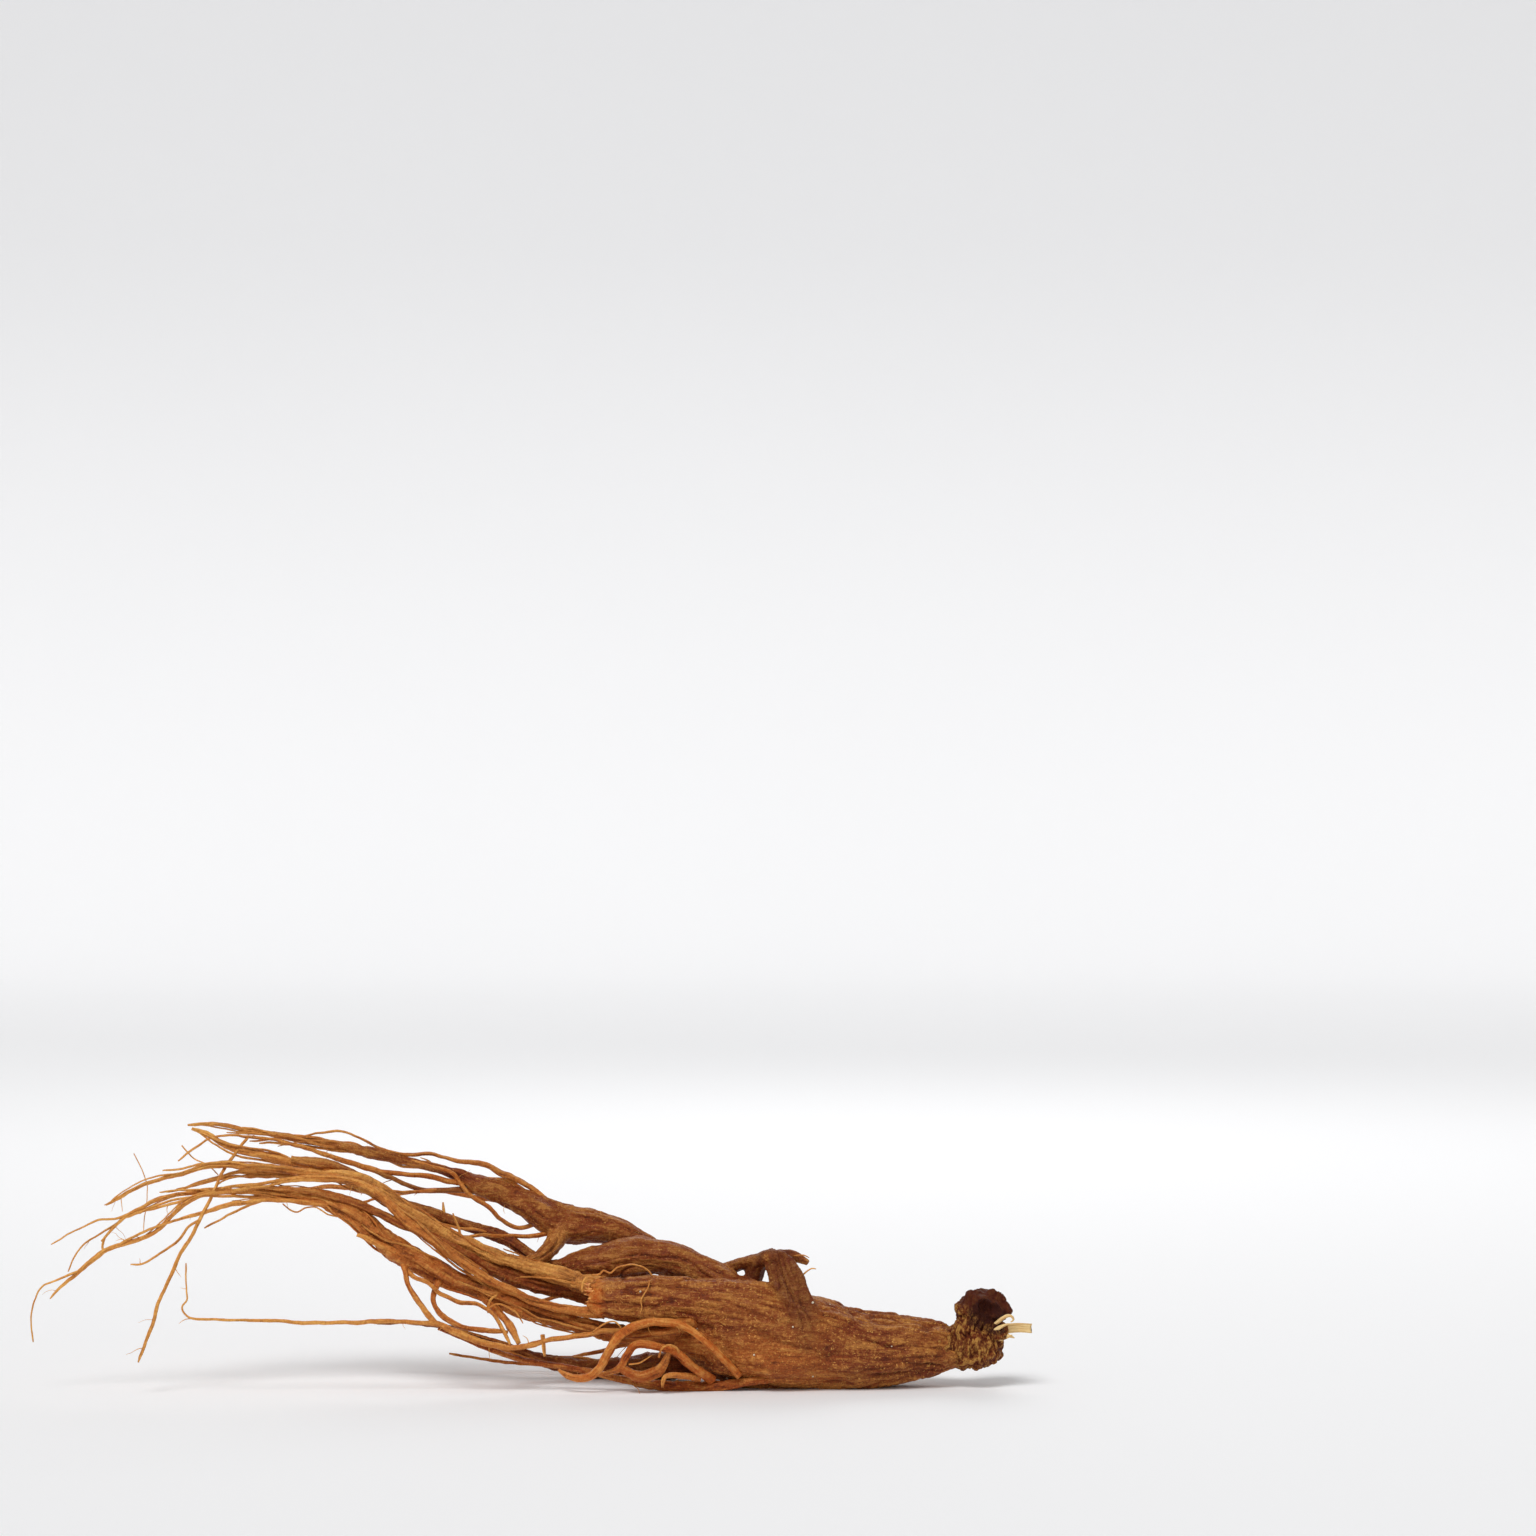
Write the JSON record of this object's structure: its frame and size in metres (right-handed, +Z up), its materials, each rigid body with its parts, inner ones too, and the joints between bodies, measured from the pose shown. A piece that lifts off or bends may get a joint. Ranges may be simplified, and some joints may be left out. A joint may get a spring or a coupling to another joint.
{
  "type": "ginseng root",
  "caption": "Whole dried ginseng root with a gnarled crown, forked legs and long curling rootlets, lying on its side.",
  "frame": {"origin": "on the surface the root lies on, under the middle of its box", "axes": "+X towards the crown, +Y away from the viewer of the picture, +Z up"},
  "size_m": [0.1996, 0.0356, 0.0525],
  "materials": {
    "root_skin": "matt to waxy, wrinkled",
    "dry_straw": "matt, fibrous"
  },
  "bodies": {
    "root": {"ginseng_root": "root_skin", "stem_stub": "dry_straw"}
  },
  "joints": []
}
